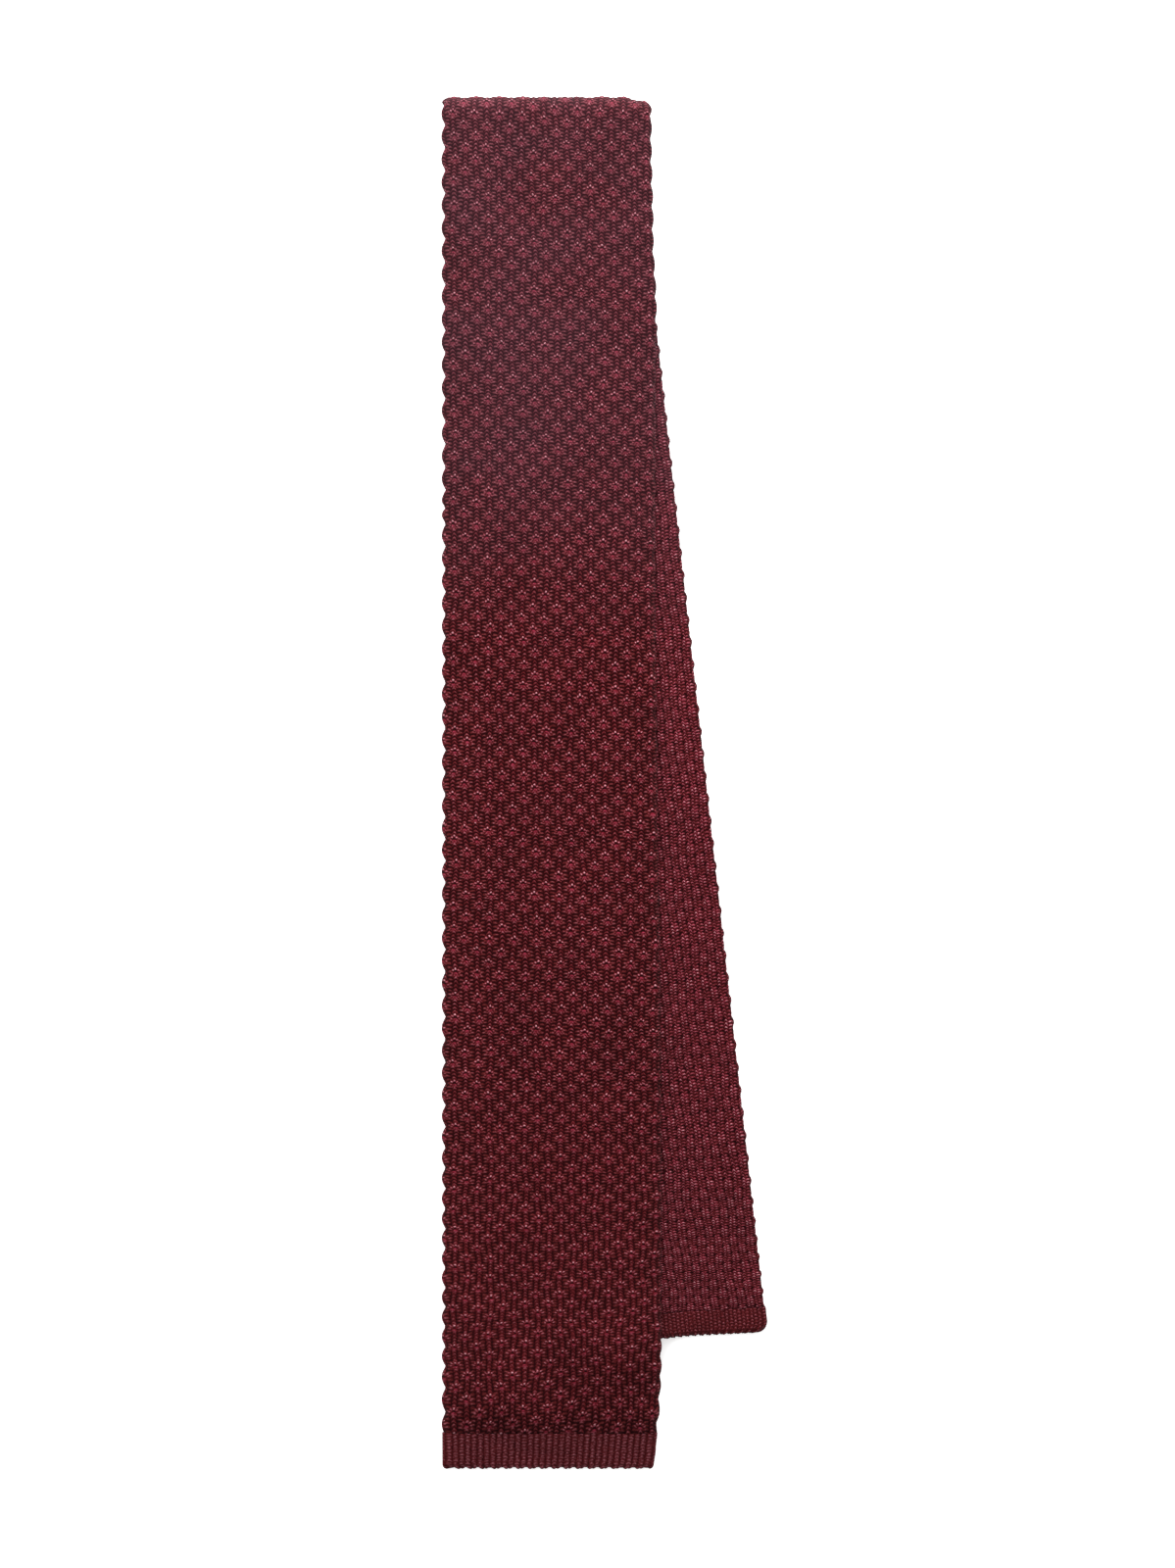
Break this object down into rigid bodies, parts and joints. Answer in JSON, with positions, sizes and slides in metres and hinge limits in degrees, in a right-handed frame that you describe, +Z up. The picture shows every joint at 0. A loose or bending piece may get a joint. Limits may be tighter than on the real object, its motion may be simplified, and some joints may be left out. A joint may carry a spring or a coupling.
{
  "type": "knit tie",
  "caption": "Square-ended knitted necktie, folded in four and lying flat, with a raised dot knit, scalloped sides and ribbed hems.",
  "frame": {"origin": "on the resting surface, under the middle of the folded tie's outline", "axes": "+Y along the tie towards its top fold, +Z up, with the front of the blade on top, +X to the side that the tail swings out to"},
  "size_m": [0.0916, 0.3884, 0.0116],
  "materials": {
    "dot_knit": "matte",
    "rib_knit": "matte"
  },
  "bodies": {
    "root": {"blade_hem": "rib_knit", "blade": "dot_knit", "neckband": "dot_knit", "tail": "dot_knit", "tail_hem": "rib_knit"}
  },
  "joints": []
}
